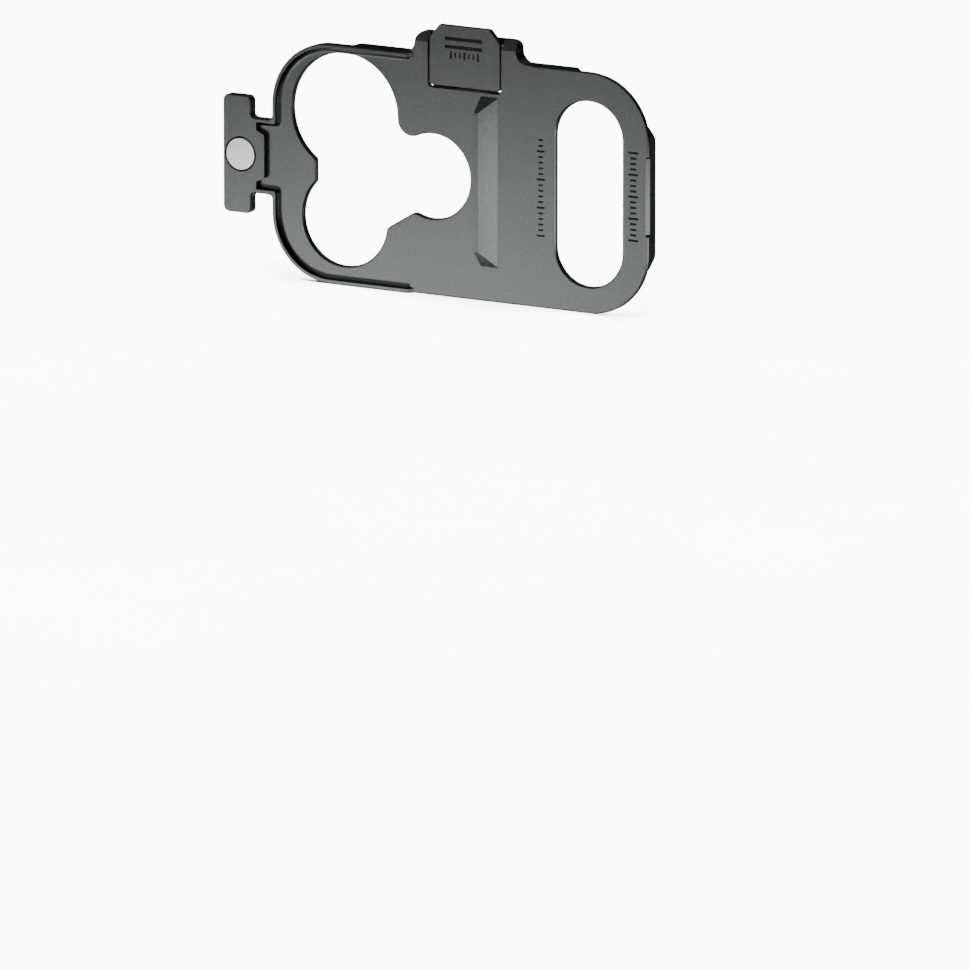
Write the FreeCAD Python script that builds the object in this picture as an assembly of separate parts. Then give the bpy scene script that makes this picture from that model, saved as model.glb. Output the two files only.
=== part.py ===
import FreeCAD, Part
import math
import os

# Phone filter adapter: a machined tray that clips over a phone case's camera opening, with a T-shaped
# magnet tab, a trefoil lens opening, a sensor window, a wedge stop for the filter and a press latch.
# Millimetres. X runs right and Z up in the front view, Y runs back from the raised front faces.
# While building, X = Z = 0 is the magnet's axis; place() moves the finished solids to the case seat.

V = FreeCAD.Vector
X_DIR, Y_DIR, Z_DIR = V(1, 0, 0), V(0, 1, 0), V(0, 0, 1)
FAR = 200.0                                  # longer than anything in the part
SINK = 0.2                                   # how far a fused foot reaches into what carries it
PAST = 1.0                                   # how far a cutter reaches past what it cuts

# Levels, measured back from the rim's and the tab's front faces
RIM_H = 1.0                                  # raised rim and tab above the plate's floor
PLATE_T = 1.0
FLOOR = RIM_H
BACK = FLOOR + PLATE_T
HOOK_T = 1.0                                 # wall of the hook rail and the edge lip
HOOK_DEPTH = 2.2                             # rail behind the plate
LIP_DEPTH = 1.7                              # lip behind the plate

# Magnet and tab
MAGNET_R = 3.0
MAGNET_T = 1.5
MAGNET_GAP = 0.2
TAB_LAND = 0.7                               # material left of the magnet
TAB_W = 5.95
TAB_H = 22.1
TAB_LEFT = -MAGNET_R - TAB_LAND
TAB_RIGHT = TAB_LEFT + TAB_W
TAB_R_OUT, TAB_R_IN = 1.2, 1.0
NECK_L = 4.45
NECK_H = 14.1
NECK_R = 0.9
TONGUE_L = 2.85                              # raised tongue past the tab
TONGUE_H = 8.6
RELIEF_IN = 1.15                             # corner reliefs, from the tab's edge into the neck
RELIEF_SLOPE = 0.55
RELIEF_R, TONGUE_R = 0.2, 0.3

# Lens opening: two circles over each other and a third to their right, from the plate's left edge
LENS_X, LENS_A_R, LENS_B_R = 14.95, 11.1, 8.85
LENS_SPACING = 19.95                         # between the two circles' centres
LENS_A_WALL, LENS_B_WALL = 1.6, 3.4          # to the plate's top and bottom edges
LENS_C_R, LENS_C_DROP = 7.95, 0.25           # its centre lies just under the mid line
LENS_AC_GAP = 2.02                           # between the edges of A and C
LOBE_AC = 3.0                                # rounded lobe between A and C
LOBE_LOW_TURN, LOBE_LOW_R = 5.0, 1.0         # straight lobe from here below B's right side, in degrees,
LOBE_TIP_TURN, LOBE_TIP_R = 28.0, 1.8        # to here left of C's foot; its two rounded ends
LOBE_FLAT_W, LOBE_FLAT_R = 4.3, 0.7          # blunt lobe between A and B
MOUTH_EDGE = 0.25                            # chamfered front edge of the openings

# Plate
OVERALL_W = 89.4                             # from the tab's left edge to the plate's right edge
PLATE_W = OVERALL_W - TAB_W - NECK_L
PLATE_H = LENS_A_WALL + LENS_A_R + LENS_SPACING + LENS_B_R + LENS_B_WALL
PLATE_LEFT = TAB_RIGHT + NECK_L
PLATE_RIGHT = PLATE_LEFT + PLATE_W
CORNER_RUN = 2.2                             # straight edge between the left corner and the neck's fillet
PLATE_R_LEFT = (PLATE_H - NECK_H) / 2 - NECK_R - CORNER_RUN
PLATE_R_RIGHT = 12.4
EDGE_FRONT, EDGE_BACK = 0.2, 0.25            # chamfers along the outline
RIM_W = 0.75
RIM_COVE = 0.9                               # concave foot of the rim's inner wall
RIM_TURN = 0.4                               # rim's inner wall into the neck's strip
RIM_LENGTH = 29.6                            # from the plate's left edge
RIM_RUNOUT = 0.9

# Sensor window
WINDOW_X = 12.55                             # axis, from the plate's right edge
WINDOW_R = 7.0
WINDOW_OVER, WINDOW_UNDER = 5.4, 4.9         # walls to the plate's top and bottom edges

# Wedge stop
FILTER_W = 43.05
STOP_X = PLATE_LEFT + RIM_W + FILTER_W
STOP_H = 2.65
STOP_W, STOP_CREST = 3.6, 0.8
STOP_GAP, STOP_UNDER = 0.65, 6.5             # from its foot to the notch and to the plate's lower edge
STOP_END_TOP, STOP_END_LOW = 2.65, 3.05      # length of its sloped ends

# Latch housing: two ears on the top edge with a notch between them
LATCH_OFFSET = 0.8                           # right of the plate's middle
LATCH_X = PLATE_LEFT + PLATE_W / 2 + LATCH_OFFSET
HOUSING_W = 21.4
HOUSING_SHIFT = 0.15                         # its middle is right of the lever's
HOUSING_X = LATCH_X + HOUSING_SHIFT
HOUSING_H = 4.05
HOUSING_D = 3.0
HOUSING_R, HOUSING_FOOT = 1.5, 2.2
HOUSING_FACE = 2.35                          # flat front above the plate's edge, the rest slopes back
HOUSING_SLOPE_D = 1.3
LEVER_W = 14.9
LEVER_H = 11.4
LEVER_T = 1.0
LEVER_UP = 5.85                              # lever's top above the plate's edge
LEVER_CHAMFER_W, LEVER_CHAMFER_H, LEVER_R = 2.15, 2.5, 0.6
LEVER_GAP = 0.3
NOTCH_GAP = 0.5
NOTCH_R = 0.9
BRIDGE_D = 1.1                               # bar behind the lever that joins the ears
SILL_H, SILL_D = 1.2, 1.5                    # rib behind the plate, under the notch
RAIL_GAP = 0.3

# Pivot
PIN_R = 0.6
PIN_INSET = 0.35
PIN_FIT = 0.05
PIN_UP = 1.45                                # axis above the plate's edge
PIN_BACK = 2.0                               # axis behind the floor
HUB_R = 1.05
HUB_W = 3.6
HUB_INSET = 0.6
WIRE_R = 0.15
COIL_GAP = 0.3
COIL_PITCH = 0.85
COIL_SIDES = 10                              # straight pieces to a turn
COIL_CLEAR = 0.02                            # behind the lever's back
LEG_UP, LEG_BACK = 1.9, 1.2
TOOTH_W, TOOTH_H, TOOTH_D = 7.0, 2.3, 2.2
TOOTH_INSET = 0.2                            # above the lever's lower edge
GROOVE_L, GROOVE_H, GROOVE_D = 7.8, 0.65, 0.35    # V-shaped grip grooves
GROOVE_SHIFT = 0.2                           # left of the lever's middle
GROOVE_Z = (2.45, 3.95)                      # groove centres below the lever's top

# Hook rail along the top edge and its sloped ends, from the plate's left edge
RAIL_START, RAIL_END = 16.2, 64.3
RAIL_SLOPE_L, RAIL_SLOPE_R = 0.7, 1.8
# Lip and finger scoop on the right edge
LIP_L, LIP_TIP_L = 26.6, 22.0
SCOOP_L, SCOOP_UP = 15.1, 0.45
SCOOP_W, SCOOP_D, SCOOP_R = 0.7, 0.6, 0.6

SEAT_INSET = 25.4                            # case seat's stated point, between stop and window
SEAT_X = PLATE_RIGHT - SEAT_INSET
TOP = PLATE_H / 2
RIM_END = PLATE_LEFT + RIM_LENGTH
NOTCH_W = LEVER_W + 2 * LEVER_GAP
LEVER_TOP = TOP + LEVER_UP
LEVER_BOTTOM = LEVER_TOP - LEVER_H
NOTCH_Z = LEVER_BOTTOM - NOTCH_GAP
STOP_HIGH, STOP_LOW = NOTCH_Z - STOP_GAP, STOP_UNDER - TOP
PIN_Y, PIN_Z = FLOOR + PIN_BACK, TOP + PIN_UP


def corner(before, here, after, radius):
    """Tangent points and mid point of the arc that rounds a corner."""
    to_a, to_b = (before - here).normalize(), (after - here).normalize()
    half = to_a.getAngle(to_b) / 2
    reach = radius / math.tan(half)
    start, end = here + to_a * reach, here + to_b * reach
    centre = here + (to_a + to_b).normalize() * (radius / math.sin(half))
    middle = centre + (here - centre).normalize() * radius
    return start, middle, end


def loop(points):
    """Closed wire through (vector, radius) corners; radius 0 leaves a corner sharp."""
    edges, ends = [], []
    count = len(points)
    for i, (here, radius) in enumerate(points):
        if radius > 0:
            start, middle, end = corner(points[i - 1][0], here, points[(i + 1) % count][0], radius)
            edges.append(Part.Arc(start, middle, end).toShape())
        else:
            start = end = here
        ends.append((start, end))
    for i in range(count):
        a, b = ends[i][1], ends[(i + 1) % count][0]
        if a.distanceToPoint(b) > 1e-6:
            edges.append(Part.makeLine(a, b))
    return Part.Wire(Part.sortEdges(edges)[0])


def front_prism(points, y0, y1):
    """Solid with a front-view outline given as (x, z, radius), from level y0 back to y1."""
    wire = loop([(V(x, y0, z), radius) for x, z, radius in points])
    return Part.Face(wire).extrude(V(0, y1 - y0, 0))


def side_prism(points, x0, x1):
    """Solid with a side-view outline given as (y, z), from x0 to x1."""
    wire = loop([(V(x0, y, z), 0) for y, z in points])
    return Part.Face(wire).extrude(V(x1 - x0, 0, 0))


def top_prism(points, z0, z1):
    """Solid with a top-view outline given as (x, y), from z0 up to z1."""
    wire = loop([(V(x, y, z0), 0) for x, y in points])
    return Part.Face(wire).extrude(V(0, 0, z1 - z0))


def disc(x, z, radius, y0, y1):
    return Part.makeCylinder(radius, y1 - y0, V(x, y0, z), Y_DIR)


def box(x0, x1, y0, y1, z0, z1):
    return Part.makeBox(x1 - x0, y1 - y0, z1 - z0, V(x0, y0, z0))


def mirrored(points):
    """Adds the lower half of an outline that is symmetric about the mid line."""
    return points + [(x, -z, radius) for x, z, radius in reversed(points)]


def outline():
    """Plate, neck and tab in one closed outline."""
    neck, tab = NECK_H / 2, TAB_H / 2
    return mirrored([
        (PLATE_RIGHT, TOP, PLATE_R_RIGHT),
        (PLATE_LEFT, TOP, PLATE_R_LEFT),
        (PLATE_LEFT, neck, NECK_R),
        (TAB_RIGHT, neck, NECK_R),
        (TAB_RIGHT, tab, TAB_R_IN),
        (TAB_LEFT, tab, TAB_R_OUT),
    ])


def edges_at(shape, level, start=-FAR):
    """Edges that lie in the plane Y = level and reach past X = start."""
    found = []
    for edge in shape.Edges:
        bounds = edge.BoundBox
        if abs(bounds.YMin - level) < 1e-4 and abs(bounds.YMax - level) < 1e-4 and bounds.XMin > start:
            found.append(edge)
    return found


def floor_pocket():
    """Everything in front of the floor: inside the rim, round the tongue, and right of the rim's end."""
    wall_x, wall_z = PLATE_LEFT + RIM_W, TOP - RIM_W
    neck = NECK_H / 2 - RIM_W
    tongue_x, relief_x = TAB_RIGHT + TONGUE_L, TAB_RIGHT + RELIEF_IN
    tongue = TONGUE_H / 2
    inside = front_prism(mirrored([
        (RIM_END + PAST, wall_z, 0),
        (wall_x, wall_z, PLATE_R_LEFT - RIM_W),
        (wall_x, neck, RIM_TURN),
        (relief_x, neck, RELIEF_R),
        (relief_x, tongue + RELIEF_SLOPE, RELIEF_R),
        (tongue_x, tongue - RELIEF_SLOPE / 2, TONGUE_R),
    ]), -PAST, FLOOR)
    right = top_prism([
        (RIM_END - RIM_RUNOUT, -PAST), (RIM_END - RIM_RUNOUT, 0), (RIM_END, FLOOR),
        (PLATE_RIGHT + PAST, FLOOR), (PLATE_RIGHT + PAST, -PAST),
    ], -TOP - PAST, TOP + PAST)
    return inside.fuse(right).removeSplitter()


def cove_profile(corner_at, out, radius):
    """Face between wall, floor and a concave quarter round; out points away from the wall."""
    foot, head = corner_at + out * radius, corner_at - Y_DIR * radius
    centre = foot - Y_DIR * radius
    middle = centre + (corner_at - centre).normalize() * radius
    arc = Part.Arc(foot, middle, head).toShape()
    return Part.Face(Part.Wire([Part.makeLine(head, corner_at), Part.makeLine(corner_at, foot), arc]))


def rim_cove(side):
    """Concave foot along the upper (side 1) or lower (side -1) half of the rim and the neck's strip."""
    wall_x, wall_z, neck = PLATE_LEFT + RIM_W, TOP - RIM_W, NECK_H / 2 - RIM_W
    turn_r = PLATE_R_LEFT - RIM_W
    turn_x, turn_z = wall_x + turn_r, wall_z - turn_r
    end_x = RIM_END - RIM_RUNOUT
    relief_x = TAB_RIGHT + RELIEF_IN
    inward = V(0, 0, -side)
    straight = cove_profile(V(turn_x, FLOOR, side * wall_z), inward, RIM_COVE)
    long_run = straight.extrude(V(end_x - turn_x, 0, 0))
    turn = straight.revolve(V(turn_x, 0, side * turn_z), V(0, -side, 0), 90)
    down = cove_profile(V(wall_x, FLOOR, side * turn_z), X_DIR, RIM_COVE)
    down_run = down.extrude(V(0, 0, side * (neck + RIM_TURN - turn_z)))
    round_x, round_z = wall_x - RIM_TURN, side * (neck + RIM_TURN)
    last = cove_profile(V(wall_x, FLOOR, round_z), X_DIR, RIM_COVE)
    corner_run = last.revolve(V(round_x, 0, round_z), V(0, side, 0), 90)
    strip = cove_profile(V(round_x, FLOOR, side * neck), inward, RIM_COVE)
    neck_run = strip.extrude(V(relief_x - round_x, 0, 0))
    return [long_run, turn, down_run, corner_run, neck_run]


def lens_opening():
    """Three circles joined by a channel, with lobes where the plate reaches between them."""
    first = (PLATE_LEFT + LENS_X, TOP - LENS_A_WALL - LENS_A_R, LENS_A_R)
    second = (first[0], first[1] - LENS_SPACING, LENS_B_R)
    span, rise = LENS_A_R + LENS_AC_GAP + LENS_C_R, first[1] + LENS_C_DROP
    third = (first[0] + math.sqrt(span ** 2 - rise ** 2), -LENS_C_DROP, LENS_C_R)
    round_lobe = lobe(first, third, LOBE_AC)
    low = on_circle(second, -LOBE_LOW_TURN)
    tip = on_circle(third, -90 - LOBE_TIP_TURN)
    corners = [second, low, tip, third, touch(round_lobe, third), touch(round_lobe, first), first]
    channel = front_prism([(point[0], point[1], 0) for point in corners], -PAST, BACK + PAST)
    flat = first[0] - flat_reach(LENS_SPACING - LOBE_FLAT_W, LENS_A_R, LENS_B_R)
    left = box(flat, first[0], -PAST, BACK + PAST, second[1], first[1])
    circles = [disc(x, z, radius, -PAST, BACK + PAST) for x, z, radius in (first, second, third)]
    tool = channel.multiFuse([left] + circles)
    x, z, r = round_lobe
    tool = tool.cut(disc(x, z, r, -2 * PAST, BACK + 2 * PAST)).removeSplitter()
    for x, radius in ((flat, LOBE_FLAT_R), (low[0], LOBE_LOW_R), (tip[0], LOBE_TIP_R)):
        tool = tool.makeFillet(radius, depth_edges(tool, x))
    return tool


def on_circle(circle, angle):
    """Point of a lens circle at an angle in degrees, counted up from its right side."""
    x, z, radius = circle
    turn = math.radians(angle)
    return x + radius * math.cos(turn), z + radius * math.sin(turn)


def depth_edges(shape, x):
    """Edges that run straight back at X = x."""
    return [edge for edge in shape.Edges if abs(edge.BoundBox.XMin - x) < 1e-3
            and edge.BoundBox.XLength < 1e-3 and edge.BoundBox.ZLength < 1e-3]


def flat_reach(rise, upper, lower):
    """How far beside the centres of two circles their facing half chords add up to a rise."""
    half = (rise + (upper ** 2 - lower ** 2) / rise) / 2
    return math.sqrt(upper ** 2 - half ** 2)


def lobe(first, second, radius):
    """Circle that touches two others from outside, above their line."""
    (x1, z1, r1), (x2, z2, r2) = first, second
    span = math.hypot(x2 - x1, z2 - z1)
    ux, uz = (x2 - x1) / span, (z2 - z1) / span
    reach1, reach2 = r1 + radius, r2 + radius
    along = (reach1 ** 2 - reach2 ** 2 + span ** 2) / (2 * span)
    off = math.sqrt(reach1 ** 2 - along ** 2)
    return x1 + along * ux - off * uz, z1 + along * uz + off * ux, radius


def touch(small, big):
    """Point where the lobe's circle meets the lens circle."""
    (sx, sz, _), (bx, bz, br) = small, big
    span = math.hypot(sx - bx, sz - bz)
    return bx + (sx - bx) * br / span, bz + (sz - bz) * br / span


def sensor_window():
    """Long opening with half-round ends."""
    x, high, low = PLATE_RIGHT - WINDOW_X, TOP - WINDOW_OVER - WINDOW_R, WINDOW_UNDER + WINDOW_R - TOP
    straight = box(x - WINDOW_R, x + WINDOW_R, -PAST, BACK + PAST, low, high)
    return straight.multiFuse([disc(x, z, WINDOW_R, -PAST, BACK + PAST) for z in (low, high)]).removeSplitter()


def wedge_stop():
    """Raised stop: upright wall towards the filter, narrow crest, ramp to the right, sloped ends."""
    level, crest = FLOOR, FLOOR - STOP_H
    foot = level + SINK
    x0, x1, x2 = STOP_X, STOP_X + STOP_CREST, STOP_X + STOP_W
    section = top_prism([(x0, foot), (x0, crest), (x1, crest), (x2, level), (x2, foot)],
                        STOP_LOW, STOP_HIGH)
    ends = side_prism([
        (foot, STOP_LOW), (level, STOP_LOW), (crest, STOP_LOW + STOP_END_LOW),
        (crest, STOP_HIGH - STOP_END_TOP), (level, STOP_HIGH), (foot, STOP_HIGH),
    ], x0 - PAST, x2 + PAST)
    return section.common(ends)


def latch_housing():
    """Solid block on the top edge with coved feet and a front that slopes back."""
    left, right = HOUSING_X - HOUSING_W / 2, HOUSING_X + HOUSING_W / 2
    top, low = TOP + HOUSING_H, TOP - HOOK_T
    reach = HOUSING_FOOT + HOOK_T
    block = front_prism([
        (right + reach, low, 0), (right + reach, TOP, 0),
        (right, TOP, HOUSING_FOOT), (right, top, HOUSING_R),
        (left, top, HOUSING_R), (left, TOP, HOUSING_FOOT),
        (left - reach, TOP, 0), (left - reach, low, 0),
    ], FLOOR, FLOOR + HOUSING_D)
    face_z = TOP + HOUSING_FACE
    slope = side_prism([
        (FLOOR - PAST, face_z), (FLOOR, face_z), (FLOOR + HOUSING_SLOPE_D, top),
        (FLOOR + HOUSING_SLOPE_D, top + PAST), (FLOOR - PAST, top + PAST),
    ], left - reach - PAST, right + reach + PAST)
    return block.cut(slope)


def latch_notch():
    """Clearance for the lever and its hubs; the rail and the bridge stay behind it."""
    x0, x1 = LATCH_X - NOTCH_W / 2, LATCH_X + NOTCH_W / 2
    back = FLOOR + HOUSING_D
    front = front_prism([(x0, NOTCH_Z, NOTCH_R), (x1, NOTCH_Z, NOTCH_R), (x1, FAR, 0), (x0, FAR, 0)],
                        -PAST, BACK + RAIL_GAP)
    hubs = box(x0, x1, -PAST, back + PAST, TOP, PIN_Z + HUB_R + LEVER_GAP)
    swing = box(x0, x1, -PAST, back - BRIDGE_D, TOP, FAR)
    return front.multiFuse([hubs, swing])


def notch_sill():
    """Rib behind the plate along the notch's lower edge, which closes the gap from behind."""
    half = NOTCH_W / 2
    return box(LATCH_X - half, LATCH_X + half, BACK - SINK, BACK + SILL_D, NOTCH_Z - SILL_H, NOTCH_Z)


def hook_rail():
    x0, x1 = PLATE_LEFT + RAIL_START, PLATE_LEFT + RAIL_END
    foot, tip = BACK - EDGE_BACK - SINK, BACK + HOOK_DEPTH
    return top_prism([(x0, foot), (x0, BACK), (x0 + RAIL_SLOPE_L, tip), (x1 - RAIL_SLOPE_R, tip),
                      (x1, BACK), (x1, foot)], TOP - HOOK_T, TOP)


def edge_lip():
    """Short wall behind the right edge that follows the plate's outline."""
    half, tip = LIP_L / 2, LIP_TIP_L / 2
    foot, end = BACK - EDGE_BACK - SINK, BACK + LIP_DEPTH
    wall = side_prism([(foot, -half), (BACK, -half), (end, -tip), (end, tip), (BACK, half), (foot, half)],
                      PLATE_RIGHT - HOOK_T, PLATE_RIGHT)
    return wall.common(front_prism(outline(), FLOOR, end))


def finger_scoop():
    """Ramp down to the right edge, with coved ends."""
    x0, x1 = PLATE_RIGHT - SCOOP_W, PLATE_RIGHT + PAST
    deep = FLOOR + SCOOP_D / SCOOP_W * (x1 - x0)
    ramp = top_prism([(x0, FLOOR), (x0, FLOOR - PAST), (x1, FLOOR - PAST), (x1, deep)],
                     SCOOP_UP - SCOOP_L / 2, SCOOP_UP + SCOOP_L / 2)
    ends = [edge for edge in ramp.Edges if edge.BoundBox.XLength > SCOOP_W and edge.BoundBox.YLength > SCOOP_D]
    return ramp.makeFillet(SCOOP_R, ends)


def mouth_edges(body, tool):
    """Edges of an opening on the floor's level."""
    found = []
    for edge in edges_at(body, FLOOR):
        middle = edge.valueAt((edge.FirstParameter + edge.LastParameter) / 2)
        if tool.distToShape(Part.Vertex(middle))[0] < 1e-4:
            found.append(edge)
    return found


def tray_body():
    slab = front_prism(outline(), 0, BACK)
    slab = slab.makeChamfer(EDGE_BACK, edges_at(slab, BACK))
    slab = slab.makeChamfer(EDGE_FRONT, edges_at(slab, 0))
    body = slab.cut(floor_pocket())
    body = body.makeChamfer(EDGE_FRONT, edges_at(body, FLOOR, RIM_END))
    openings = [lens_opening(), sensor_window()]
    for tool in openings:
        body = body.cut(tool)
        body = body.makeChamfer(MOUTH_EDGE, mouth_edges(body, tool))
    body = body.multiFuse(rim_cove(1) + rim_cove(-1) + [
        wedge_stop(), latch_housing(), hook_rail(), edge_lip(), notch_sill()])
    pocket = disc(0, 0, MAGNET_R + MAGNET_GAP, -PAST, MAGNET_T)
    pin_bore = Part.makeCylinder(PIN_R, FAR, V(0, PIN_Y, PIN_Z), X_DIR)
    for tool in (openings[0], latch_notch(), finger_scoop(), pocket, pin_bore):
        body = body.cut(tool)
    return body.removeSplitter()


def tab_magnet():
    return disc(0, 0, MAGNET_R, 0, MAGNET_T)


def lever_plate():
    x0, x1 = LATCH_X - LEVER_W / 2, LATCH_X + LEVER_W / 2
    shoulder = LEVER_TOP - LEVER_CHAMFER_H
    wire = [(x1, LEVER_BOTTOM, LEVER_R), (x1, shoulder, 0), (x1 - LEVER_CHAMFER_W, LEVER_TOP, 0),
            (x0 + LEVER_CHAMFER_W, LEVER_TOP, 0), (x0, shoulder, 0), (x0, LEVER_BOTTOM, LEVER_R)]
    plate = front_prism(wire, FLOOR, FLOOR + LEVER_T)
    plate = plate.makeChamfer(EDGE_FRONT / 2, edges_at(plate, FLOOR))
    for below in GROOVE_Z:
        z = LEVER_TOP - below
        left = LATCH_X - GROOVE_SHIFT - GROOVE_L / 2
        plate = plate.cut(side_prism([(FLOOR, z - GROOVE_H / 2), (FLOOR, z + GROOVE_H / 2),
                                      (FLOOR + GROOVE_D, z)], left, left + GROOVE_L))
    return plate


def latch_lever():
    """Face plate with two hub barrels behind it and a ramped tooth at its lower end."""
    half = LEVER_W / 2 - HUB_INSET
    back = FLOOR + LEVER_T
    parts = []
    for x in (LATCH_X - half, LATCH_X + half - HUB_W):
        parts.append(Part.makeCylinder(HUB_R, HUB_W, V(x, PIN_Y, PIN_Z), X_DIR))
        parts.append(box(x, x + HUB_W, back - SINK, PIN_Y, PIN_Z - HUB_R, PIN_Z + HUB_R))
    low = LEVER_BOTTOM + TOOTH_INSET
    parts.append(side_prism([
        (back - SINK, low), (back - SINK, low + TOOTH_H), (back + TOOTH_D / 2, low + 0.8 * TOOTH_H),
        (back + TOOTH_D, low + 0.4 * TOOTH_H), (back + TOOTH_D, low),
    ], LATCH_X - TOOTH_W / 2, LATCH_X + TOOTH_W / 2))
    lever = lever_plate().multiFuse(parts)
    bore = Part.makeCylinder(PIN_R + PIN_FIT, LEVER_W, V(LATCH_X - LEVER_W / 2, PIN_Y, PIN_Z), X_DIR)
    return lever.cut(bore).removeSplitter()


def latch_pin():
    length = HOUSING_W - 2 * PIN_INSET
    return Part.makeCylinder(PIN_R, length, V(HOUSING_X - length / 2, PIN_Y, PIN_Z), X_DIR)


def latch_spring():
    """Torsion spring on the pin between the hubs: one leg up the lever's back, one leg to the rear."""
    coil_r = PIN_BACK - LEVER_T - WIRE_R - COIL_CLEAR
    room = LEVER_W - 2 * (HUB_INSET + HUB_W + COIL_GAP) - 2 * WIRE_R
    turns = math.floor(room / COIL_PITCH) + 0.25
    x0 = LATCH_X - room / 2
    count = int(turns * COIL_SIDES)
    points = []
    for i in range(count + 1):
        angle = 2 * math.pi * turns * i / count
        points.append(V(x0 + COIL_PITCH * turns * i / count,
                        PIN_Y - coil_r * math.cos(angle), PIN_Z - coil_r * math.sin(angle)))
    leg_up = points[0] + V(0, 0, LEG_UP)
    leg_back = points[-1] + V(0, LEG_BACK, 0)
    path = Part.Wire([Part.makeLine(leg_up, points[0])] +
                     [Part.makeLine(a, b) for a, b in zip(points, points[1:])] +
                     [Part.makeLine(points[-1], leg_back)])
    wire = Part.BRepOffsetAPI.MakePipeShell(path)
    wire.setTransitionMode(1)
    wire.add(Part.Wire(Part.makeCircle(WIRE_R, leg_up, Z_DIR)), False, False)
    wire.build()
    wire.makeSolid()
    return wire.shape()


def place(shape):
    """Move from the magnet's axis to the case seat: the origin is on the plate's back face."""
    moved = shape.copy()
    moved.translate(V(-SEAT_X, -BACK, 0))
    return moved


os.makedirs("parts", exist_ok=True)
place(tray_body()).exportStep("parts/tray_body.step")
place(tab_magnet()).exportStep("parts/tab_magnet.step")
place(latch_lever()).exportStep("parts/latch_lever.step")
place(latch_pin()).exportStep("parts/latch_pin.step")
place(latch_spring()).exportStep("parts/latch_spring.step")
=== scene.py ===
import math

import bmesh
import bpy
import numpy as np
from mathutils import Matrix, Vector


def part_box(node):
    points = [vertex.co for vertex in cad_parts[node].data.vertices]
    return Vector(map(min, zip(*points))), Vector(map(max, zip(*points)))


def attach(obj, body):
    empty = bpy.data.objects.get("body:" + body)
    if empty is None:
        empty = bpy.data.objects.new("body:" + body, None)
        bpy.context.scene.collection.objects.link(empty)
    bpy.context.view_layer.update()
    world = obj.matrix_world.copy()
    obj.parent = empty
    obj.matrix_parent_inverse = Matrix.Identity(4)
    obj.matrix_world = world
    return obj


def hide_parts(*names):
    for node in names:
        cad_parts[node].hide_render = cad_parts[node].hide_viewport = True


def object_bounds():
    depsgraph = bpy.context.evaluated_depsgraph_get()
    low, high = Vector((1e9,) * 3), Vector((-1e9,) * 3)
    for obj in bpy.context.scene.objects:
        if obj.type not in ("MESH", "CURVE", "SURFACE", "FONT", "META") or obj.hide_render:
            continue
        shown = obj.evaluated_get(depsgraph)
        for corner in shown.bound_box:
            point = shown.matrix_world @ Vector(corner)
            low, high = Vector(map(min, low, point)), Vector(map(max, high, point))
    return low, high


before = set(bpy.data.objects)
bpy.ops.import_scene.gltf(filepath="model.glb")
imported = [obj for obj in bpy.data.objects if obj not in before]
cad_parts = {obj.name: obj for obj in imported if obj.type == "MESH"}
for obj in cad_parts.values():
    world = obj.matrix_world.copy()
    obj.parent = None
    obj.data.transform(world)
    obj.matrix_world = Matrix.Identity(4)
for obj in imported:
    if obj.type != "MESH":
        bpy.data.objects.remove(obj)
CAD_BOX = [list(corner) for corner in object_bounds()]

# The phone filter adapter in metres, on the CAD's frame: X right, Y back, Z up.
MM = 0.001
MAGNET_X = -60.3 * MM                        # the tab magnet's axis
FLOOR_Y = -1.0 * MM                          # the tray's floor, and the lever's face in line with it
TAB_Y = -2.0 * MM                            # front face of the tab, the magnet and the rim
PIN_LOW, PIN_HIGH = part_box("latch_pin")
GROUND = CAD_BOX[0][2]                       # the plate's lower edge stands on it
MERGE = 1e-8                                 # points nearer than this are one
STAGE_R = 8.0                                # radius of the floor and of the backdrop
RINGS, SPOKES = 25, 72                       # their grid


# Finishes

class Value:
    """A socket in a finish: arithmetic on it adds Math nodes."""

    def __init__(self, finish, socket):
        self.finish, self.socket = finish, socket

    def calc(self, operation, a, b=0.0, clamp=False):
        return self.finish.node("ShaderNodeMath", {"operation": operation, "use_clamp": clamp}, {0: a, 1: b})

    def __add__(self, other):
        return self.calc("ADD", self, other)

    def __sub__(self, other):
        return self.calc("SUBTRACT", self, other)

    def __rsub__(self, other):
        return self.calc("SUBTRACT", other, self)

    def __mul__(self, other):
        return self.calc("MULTIPLY", self, other)

    __radd__, __rmul__ = __add__, __mul__

    def between(self, low, high):
        """0 at low, 1 at high, held outside them."""
        return self.calc("MULTIPLY", self - low, 1.0 / (high - low), clamp=True)


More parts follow.
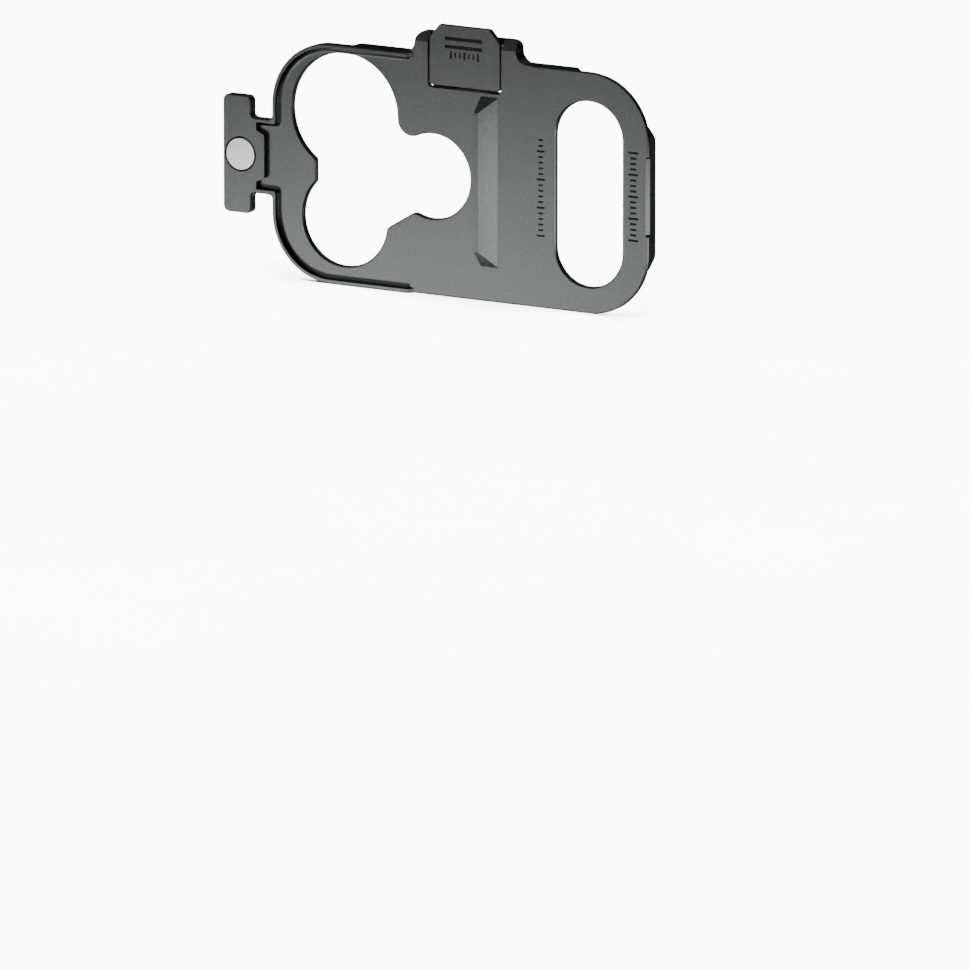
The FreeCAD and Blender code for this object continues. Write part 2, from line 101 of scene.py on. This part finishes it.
class Finish:
    """One material, built round its surface shader."""

    def __init__(self, name, **surface):
        self.material = bpy.data.materials.new(name)
        self.material.use_nodes = True
        self.tree = self.material.node_tree
        self.shader = next(n for n in self.tree.nodes if n.type == "BSDF_PRINCIPLED")
        self.place = self.node("ShaderNodeTexCoord", output="Object")
        self.set(**surface)

    def node(self, kind, settings=None, inputs=None, output=0):
        """Adds a node: its settings and a ramp's stops first, then the values or links of its sockets."""
        made = self.tree.nodes.new(kind)
        for key, value in (settings or {}).items():
            if key == "stops":
                ramp = made.color_ramp.elements
                while len(ramp) < len(value):
                    ramp.new(0.5)
                for stop, (at, colour) in zip(ramp, value):
                    stop.position, stop.color = at, colour
            else:
                setattr(made, key, value)
        for key, value in (inputs or {}).items():
            self.feed(made.inputs[key], value)
        return Value(self, made.outputs[output])

    def feed(self, socket, value):
        if isinstance(value, Value):
            self.tree.links.new(value.socket, socket)
        else:
            socket.default_value = value

    def set(self, **surface):
        """Feeds the surface shader's own sockets, named with underscores for spaces."""
        for key, value in surface.items():
            self.feed(self.shader.inputs[key.replace("_", " ")], value)

    def noise(self, size, detail=2.0, roughness=0.5, stretch=None):
        """Cloudy pattern whose features are about as large as size, in metres."""
        at = self.place
        if stretch is not None:
            at = self.node("ShaderNodeMapping", {}, {"Vector": at, "Scale": stretch})
        return self.node("ShaderNodeTexNoise", {}, {
            "Vector": at, "Scale": 1.0 / size, "Detail": detail, "Roughness": roughness})

    def tint(self, amount, low, high):
        """Colour between two, by amount."""
        return self.node("ShaderNodeMix", {"data_type": "RGBA"}, {
            "Factor": amount, 6: (*low, 1.0), 7: (*high, 1.0)}, output=2)

    def bumps(self, height, depth, strength=1.0, normal=None):
        inputs = {"Strength": strength, "Distance": depth, "Height": height}
        if normal is not None:
            inputs["Normal"] = normal
        return self.node("ShaderNodeBump", {}, inputs)

    def edges(self, radius):
        """The softened normal, and how far it leans from the flat one: 1 on sharp edges, 0 on flats."""
        soft = self.node("ShaderNodeBevel", {"samples": 6}, {"Radius": radius})
        flat = self.node("ShaderNodeNewGeometry", output="True Normal")
        match = self.node("ShaderNodeVectorMath", {"operation": "DOT_PRODUCT"}, {0: soft, 1: flat},
                          output="Value")
        return soft, (1 - match).between(0.01, 0.12)


def blasted(name, dark, light, rough):
    """Bead-blasted, anodised aluminium: fine pits and slow cloudy tone, with painted shade that makes the
    colour a little darker along edges and in inside corners.
    """
    finish = Finish(name, Metallic=1.0)
    pits = finish.noise(0.34 * MM, detail=2.0, roughness=0.6)
    fine = finish.noise(0.12 * MM, detail=1.0)
    cloud = finish.noise(16 * MM, detail=3.0)
    soft, edge_shade = finish.edges(0.11 * MM)
    tone = pits.between(0.3, 0.7) * 0.6 + fine.between(0.3, 0.7) * 0.25 + cloud.between(0.35, 0.65) * 0.15
    # Painted shade: the colour darkens where the softened normal leans, along edges and in inside corners.
    finish.set(Base_Color=finish.tint(tone - edge_shade * 0.5, dark, light),
               Roughness=rough + pits * 0.04 + cloud * 0.02,
               Normal=finish.bumps(pits + fine * 0.5, 0.005 * MM, 0.3, soft))
    return finish.material


def plated(name):
    """Nickel plate: nearly flat, faint lapping scratches one way and a slow haze."""
    finish = Finish(name, Metallic=1.0)
    lap = finish.noise(0.14 * MM, detail=3.0, roughness=0.7, stretch=(0.3, 1.0, 1.0))
    haze = finish.noise(2.2 * MM, detail=2.0)
    soft, _ = finish.edges(0.08 * MM)
    tone = haze.between(0.3, 0.7) * 0.6 + lap * 0.4
    finish.set(Base_Color=finish.tint(tone, (0.93, 0.935, 0.94), (0.98, 0.98, 0.98)),
               Roughness=0.22 + lap * 0.05 + haze * 0.03,
               Normal=finish.bumps(lap, 0.001 * MM, 0.2, soft))
    return finish.material


def drawn_steel(name, stretch, tone):
    """Steel wire or rod: bright, with fine draw lines along it and a trace of oil in blotches."""
    finish = Finish(name, Metallic=1.0)
    lines = finish.noise(0.08 * MM, detail=2.0, roughness=0.7, stretch=stretch)
    oil = finish.noise(1.1 * MM, detail=2.0)
    shine = lines * 0.5 + oil.between(0.35, 0.7) * 0.5
    finish.set(Base_Color=finish.tint(shine, tone, (0.62, 0.61, 0.60)),
               Roughness=0.26 + lines * 0.16,
               Normal=finish.bumps(lines, 0.003 * MM, 0.4))
    return finish.material


def ink_and_gap_shade(name):
    """Dull black of the marks, and of the painted shade in the gap round the magnet, a little uneven."""
    finish = Finish(name, Specular_IOR_Level=0.1)
    speck = finish.noise(0.16 * MM, detail=3.0, roughness=0.7)
    black, worn = (0.0005, 0.0005, 0.0005), (0.003, 0.003, 0.003)
    finish.set(Base_Color=finish.tint(speck.between(0.35, 0.7), black, worn),
               Roughness=0.78 + speck * 0.14,
               Normal=finish.bumps(speck, 0.006 * MM, 0.5))
    return finish.material


def studio_floor(name):
    """Pale painted floor with the faintest mottle."""
    finish = Finish(name, Specular_IOR_Level=0.15)
    mottle = finish.noise(0.06, detail=2.0)
    finish.set(Base_Color=finish.tint(mottle.between(0.3, 0.7), (0.88, 0.88, 0.88), (0.91, 0.91, 0.91)),
               Roughness=0.86 + mottle * 0.05)
    return finish.material


def studio_sky(name):
    """Pale backdrop that glows faintly more towards the ground."""
    finish = Finish(name, Specular_IOR_Level=0.0, Roughness=1.0, Emission_Strength=3.0)
    height = finish.node("ShaderNodeSeparateXYZ", {}, {0: finish.place}, output="Z")
    shade = finish.tint(height.between(0.0, STAGE_R), (1.0, 1.0, 1.0), (0.75, 0.76, 0.78))
    finish.set(Base_Color=(0.0, 0.0, 0.0, 1.0), Emission_Color=shade)
    return finish.material


# Surfaces

def grid_quads(rows, columns, wrap, start=0):
    """Corner numbers of the quads over a grid of points, whose columns may close on themselves."""
    index = start + np.arange(rows * columns).reshape(rows, columns)
    if wrap:
        index = np.hstack([index, index[:, :1]])
    return np.stack([index[:-1, :-1], index[:-1, 1:], index[1:, 1:], index[1:, :-1]], axis=-1).reshape(-1, 4)


def surface(name, points, quads):
    """Object from point and quad arrays. Doubled points are merged, so that seams and poles are closed."""
    _, first, back = np.unique(np.round(points / MERGE).astype(np.int64), axis=0,
                               return_index=True, return_inverse=True)
    quads = back.reshape(-1)[quads]
    keep = quads != np.roll(quads, -1, axis=1)
    whole = keep.sum(axis=1) > 2
    counts = keep.sum(axis=1)[whole]
    mesh = bpy.data.meshes.new(name)
    mesh.vertices.add(len(first))
    mesh.vertices.foreach_set("co", points[first].astype(np.float32).ravel())
    mesh.loops.add(int(counts.sum()))
    mesh.loops.foreach_set("vertex_index", quads[whole][keep[whole]].astype(np.int32))
    mesh.polygons.add(len(counts))
    mesh.polygons.foreach_set("loop_start", (np.cumsum(counts) - counts).astype(np.int32))
    mesh.polygons.foreach_set("use_smooth", np.ones(len(counts), dtype=bool))
    mesh.update(calc_edges=True)
    made = bpy.data.objects.new(name, mesh)
    bpy.context.collection.objects.link(made)
    return made


def face_outwards(made):
    """Turns a closed piece's faces outwards."""
    shape = bmesh.new()
    shape.from_mesh(made.data)
    bmesh.ops.recalc_face_normals(shape, faces=shape.faces)
    shape.to_mesh(made.data)
    shape.free()
    return made


def add_piece(made, body, material):
    made.data.materials.append(material)
    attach(made, body)
    return made


def bar_points(x, z, width, height, face_y, proud=0.02 * MM):
    """Points of one bar on a front face: a super-ellipse |a|^6 + |b|^6 = 1, foot to crown.

    Row v runs from the buried foot up the side and in over the crown, column u runs round the bar."""
    angle = np.linspace(0, 2 * math.pi, 40, endpoint=False)
    a = np.sign(np.cos(angle)) * np.abs(np.cos(angle)) ** (1 / 3)
    b = np.sign(np.sin(angle)) * np.abs(np.sin(angle)) ** (1 / 3)
    inset = np.array([1.0, 0.0, 0.0, 0.02, 0.05, 0.12, 0.5, 1.0])[:, None]
    rise = np.array([-0.5, -0.5, 0.6, 0.85, 0.95, 1.0, 1.0, 1.0])[:, None]
    half_x, half_z = width / 2, height / 2
    px, pz = x + a * half_x * (1 - inset), z + b * half_z * (1 - inset)
    py = np.broadcast_to(face_y - rise * proud, px.shape)
    return np.stack([px, py, pz], axis=-1)


def bars(name, rows, face_y):
    """Several bars in one piece: each row gives x, z, width and height in mm on the frame."""
    grids = [bar_points(*(value * MM for value in row), face_y) for row in rows]
    size = grids[0].shape[0] * grids[0].shape[1]
    quads = [grid_quads(*grid.shape[:2], True, i * size) for i, grid in enumerate(grids)]
    points = [grid.reshape(-1, 3) for grid in grids]
    return face_outwards(surface(name, np.concatenate(points), np.concatenate(quads)))


def ticks(count, first, step, every, long, short):
    """Places and lengths of a row of ticks in mm: a step apart, and long at every so many."""
    return [(first + i * step, long if i % every == 0 else short) for i in range(count)]


def gap_shade_ring(name, x, z, face_y, inner, outer, proud=0.012 * MM, deep=0.25 * MM):
    """Ring of painted shade in a round gap: a black bead with upright walls and a flat bottom, deep behind
    the face.

    With u from 0 inside to 1 outside, its crown is the parabola proud (1 - (2u - 1)^2) over the face."""
    u = np.linspace(0, 1, 9)
    radius = inner + (outer - inner) * np.concatenate([[0], u, [1, 0]])[:, None]
    depth = np.concatenate([[deep], -proud * (1 - (2 * u - 1) ** 2), [deep, deep]])[:, None]
    angle = np.linspace(0, 2 * math.pi, 160, endpoint=False)[None, :]
    points = np.stack([x + radius * np.cos(angle), face_y + depth + 0 * angle,
                       z + radius * np.sin(angle)], axis=-1)
    return face_outwards(surface(name, points.reshape(-1, 3), grid_quads(*points.shape[:2], True)))


def coil_spring(name):
    """Torsion spring, a round wire along a helix with a straight leg at each end.

    The helix is (x0 + pitch t, y0 - R cos 2 pi t, z0 - R sin 2 pi t) about the pin. The wire's ring at each
    point of the line is r (N cos s + B sin s), with N square to the line and nearest to the pin's axis."""
    low, high = (Vector(corner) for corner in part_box("latch_spring"))
    pin = (Vector(PIN_LOW) + Vector(PIN_HIGH)) / 2
    radius, wire, turns, sides = 0.83 * MM, 0.15 * MM, 6.25, 16
    leg_up, leg_back, leg_gap = 1.9, 1.2, 0.05
    pitch = (high.x - low.x - 2 * wire) / turns
    t = np.linspace(0, turns, 400)
    coil = np.stack([low.x + wire + pitch * t, pin.y - radius * np.cos(2 * math.pi * t),
                     pin.z - radius * np.sin(2 * math.pi * t)], axis=-1)
    upper = coil[0] + np.linspace(leg_up, leg_gap, 12)[:, None] * MM * np.array([0, 0, 1])
    rear = coil[-1] + np.linspace(leg_gap, leg_back, 10)[:, None] * MM * np.array([0, 1, 0])
    line = np.concatenate([upper, coil, rear])
    along = np.gradient(line, axis=0)
    along /= np.linalg.norm(along, axis=1, keepdims=True)
    side = np.array([1.0, 0, 0]) - along[:, :1] * along
    side /= np.linalg.norm(side, axis=1, keepdims=True)
    across = np.cross(along, side)
    s = np.linspace(0, 2 * math.pi, sides, endpoint=False)[None, :, None]
    ring = wire * (side[:, None] * np.cos(s) + across[:, None] * np.sin(s))
    tube = line[:, None] + ring
    ends = [np.repeat(line[end][None, None], sides, axis=1) for end in (0, -1)]
    tube = np.concatenate([ends[0], tube, ends[1]])
    return face_outwards(surface(name, tube.reshape(-1, 3), grid_quads(*tube.shape[:2], True)))


# The object's finishes and marks

FINISHES = {
    "tray_body": blasted("tray anodised", (0.118, 0.121, 0.121), (0.180, 0.184, 0.183), 0.29),
    "latch_lever": blasted("lever anodised", (0.118, 0.121, 0.121), (0.178, 0.182, 0.181), 0.28),
    "tab_magnet": plated("magnet plated"),
    "latch_pin": drawn_steel("pin steel", (0.1, 1.0, 1.0), (0.40, 0.40, 0.41)),
    "latch_spring": drawn_steel("spring steel", (1.0, 0.3, 0.3), (0.32, 0.31, 0.30)),
}
for node, material in FINISHES.items():
    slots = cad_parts[node].data.materials
    if len(slots) == 0:
        slots.append(material)
    for i in range(len(slots)):
        slots[i] = material

spring = add_piece(coil_spring("spring_wire"), "lever", FINISHES["latch_spring"])
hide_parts("latch_spring")

# Plain ticks where the object carries words: a tall row right of the window, a lower one left of it,
# and a short row on the lever.
# One dull black serves the ticks and the painted shade round the magnet.
mark_and_gap_shade = ink_and_gap_shade("mark fill")
WIDE, FINE = 0.40, 0.36                      # how thick a tick is, in mm, as the places below are
EDGE_X, FIELD_X, LEVER_Z = 22.2, 2.8, 22.85
EDGE_ROW = [(EDGE_X, z, length, WIDE) for z, length in ticks(17, -7.9, 1.02, 4, 2.1, 1.3)]
FIELD_ROW = [(FIELD_X, z, length, FINE) for z, length in ticks(18, -9.0, 1.05, 5, 1.7, 1.0)]
LEVER_ROW = [(x, LEVER_Z, WIDE, length) for x, length in ticks(7, -16.15, 0.95, 3, 1.5, 1.0)]
RING_IN, RING_OUT = 2.95 * MM, 3.31 * MM     # the ring of painted shade, over the gap round the magnet
# Painted shade: a black ring in the gap round the magnet, where the gap falls dark.
add_piece(gap_shade_ring("magnet_gap_shade", MAGNET_X, 0.0, TAB_Y, RING_IN, RING_OUT),
          "tray", mark_and_gap_shade)
add_piece(bars("edge_ticks", EDGE_ROW, FLOOR_Y), "tray", mark_and_gap_shade)
add_piece(bars("field_ticks", FIELD_ROW, FLOOR_Y), "tray", mark_and_gap_shade)
add_piece(bars("lever_ticks", LEVER_ROW, FLOOR_Y), "lever", mark_and_gap_shade)


# Floor, light and camera

def floor_disc(name):
    """Round floor: points (r cos a, r sin a) at ground level, closer together near the object."""
    nearest, gap = 0.05, 0.02 * MM
    r = np.concatenate([[0], np.geomspace(nearest, STAGE_R, RINGS - 1)])[:, None]
    a = np.linspace(0, 2 * math.pi, SPOKES, endpoint=False)[None, :]
    points = np.stack([r * np.cos(a), r * np.sin(a), np.full((RINGS, SPOKES), GROUND - gap)], axis=-1)
    return surface(name, points.reshape(-1, 3), grid_quads(RINGS, SPOKES, True))


def sky_dome(name):
    """Backdrop: a half sphere of radius R, points R (cos a cos b, sin a cos b, sin b), seen from inside."""
    b = np.linspace(0, math.pi / 2, RINGS)[:, None]
    a = np.linspace(2 * math.pi, 0, SPOKES, endpoint=False)[None, :]
    points = STAGE_R * np.stack([np.cos(a) * np.cos(b), np.sin(a) * np.cos(b), np.sin(b) + 0 * a], axis=-1)
    points[-1] = (0, 0, STAGE_R)
    return surface(name, points.reshape(-1, 3), grid_quads(RINGS, SPOKES, True))


def stage(made, material, **seen):
    """A part of the studio, with the kinds of ray that see it or not."""
    made.data.materials.append(material)
    for ray, on in seen.items():
        setattr(made, "visible_" + ray, on)


# The floor and backdrop stay out of the metal's reflections, so that its upright walls fall dark.
stage(floor_disc("studio_floor"), studio_floor("floor paint"), glossy=False, shadow=False)
stage(sky_dome("studio_sky"), studio_sky("sky paint"), glossy=False, diffuse=False, shadow=False)


def softbox(name, aim, turn, rise, away, width, height, strength, spread=180.0, on_metal=True):
    """Rectangular soft light that faces aim; strength is its brightness per area.

    It stands turn degrees round from X towards Y and rise degrees above the aim, opens over spread degrees,
    and serves either the metal's reflections or the dull floor and marks."""
    turn, rise = math.radians(turn), math.radians(rise)
    from_aim = Vector((math.cos(turn) * math.cos(rise), math.sin(turn) * math.cos(rise), math.sin(rise)))
    light = bpy.data.lights.new(name, "AREA")
    light.shape, light.size, light.size_y = "RECTANGLE", width, height
    light.spread = math.radians(spread)
    light.energy = strength * math.pi * width * height
    made = bpy.data.objects.new(name, light)
    bpy.context.collection.objects.link(made)
    place = Matrix.Translation(Vector(aim) + from_aim * away)
    made.matrix_world = place @ (-from_aim).to_track_quat("-Z", "Y").to_matrix().to_4x4()
    made.visible_camera = False
    made.visible_glossy, made.visible_diffuse = on_metal, not on_metal


# What the upright faces mirror into a raised camera lies below the floor's level, so most of these stand
# there. They leave out the two directions that the photograph's black walls mirror: turn 60, and turn 120 a
# little above the floor. The columns are name, aim, turn, rise, distance, width, height and strength.
MIDDLE, LENSES = (-0.02, 0.0, 0.0), (-0.028, 0.0, 0.0)
RAMP, GROUND_AIM = (0.016, 0.0, -0.012), (0, 0.2, GROUND)
softbox("key", LENSES, 240.2, -17.3, 0.31, 0.155, 0.036, 6.05)
softbox("key_below", MIDDLE, 240.0, -38.0, 0.5, 0.40, 0.16, 0.5)
softbox("key_above", MIDDLE, 240.0, 20.0, 0.6, 0.40, 0.26, 0.45)
softbox("front_fill", MIDDLE, 286.0, -20.0, 0.5, 0.44, 0.18, 0.30)
softbox("ramp_fill", RAMP, -33.0, -15.5, 0.08, 0.045, 0.05, 0.20, spread=32.0)
softbox("right_fill", MIDDLE, 10.0, -19.0, 0.6, 0.36, 0.22, 0.22)
softbox("turn_fill", MIDDLE, 38.0, -17.0, 0.6, 0.17, 0.30, 0.75)
softbox("rear_fill", MIDDLE, 110.0, -24.0, 0.6, 0.66, 0.24, 1.0)
softbox("left_fill", MIDDLE, 178.0, -22.0, 0.6, 0.40, 0.24, 0.4)
softbox("low_fill", MIDDLE, 150.0, -56.0, 0.35, 0.30, 0.25, 0.8)
softbox("top_fill", MIDDLE, 222.0, 50.0, 0.8, 0.6, 0.5, 0.2)
softbox("back_fill", MIDDLE, 80.0, 58.0, 1.2, 1.0, 0.7, 0.8)
softbox("floor_wash", GROUND_AIM, 270.0, 80.0, 1.8, 2.4, 2.4, 36.0, on_metal=False)


def dim_world(strength):
    """The faintest even light from all round, so that nothing is wholly black."""
    world = bpy.data.worlds.new("studio")
    bpy.context.scene.world = world
    world.use_nodes = True
    sockets = world.node_tree.nodes["Background"].inputs
    sockets["Color"].default_value = (1, 1, 1, 1)
    sockets["Strength"].default_value = strength


def photo_camera():
    """Long lens at the photograph's angle: 29.87 degrees round to the right and 12.5 up.

    The magnet's face lies at the named pixel, and the lens is focal pixels long on a frame of 970."""
    turn, rise, focal, away = math.radians(29.87), math.radians(12.5), 21165.0, 3.896
    magnet_px, magnet_py, frame_px, sensor_mm = 240.36, 153.95, 970, 36.0
    right = Vector((math.cos(turn), math.sin(turn), 0))
    back = Vector((math.sin(turn) * math.cos(rise), -math.cos(turn) * math.cos(rise), math.sin(rise)))
    up = back.cross(right)
    aside = (magnet_px - frame_px / 2) * away / focal
    below = (magnet_py - frame_px / 2) * away / focal
    place = Vector((MAGNET_X, TAB_Y, 0)) + back * away - right * aside + up * below
    camera = bpy.data.cameras.new("photo_camera")
    camera.sensor_width, camera.lens = sensor_mm, sensor_mm * focal / frame_px
    camera.clip_start, camera.clip_end = 0.1, 30.0
    made = bpy.data.objects.new("photo_camera", camera)
    bpy.context.collection.objects.link(made)
    made.matrix_world = Matrix((
        (right.x, up.x, back.x, place.x), (right.y, up.y, back.y, place.y),
        (right.z, up.z, back.z, place.z), (0, 0, 0, 1)))
    bpy.context.scene.camera = made


dim_world(0.012)
photo_camera()
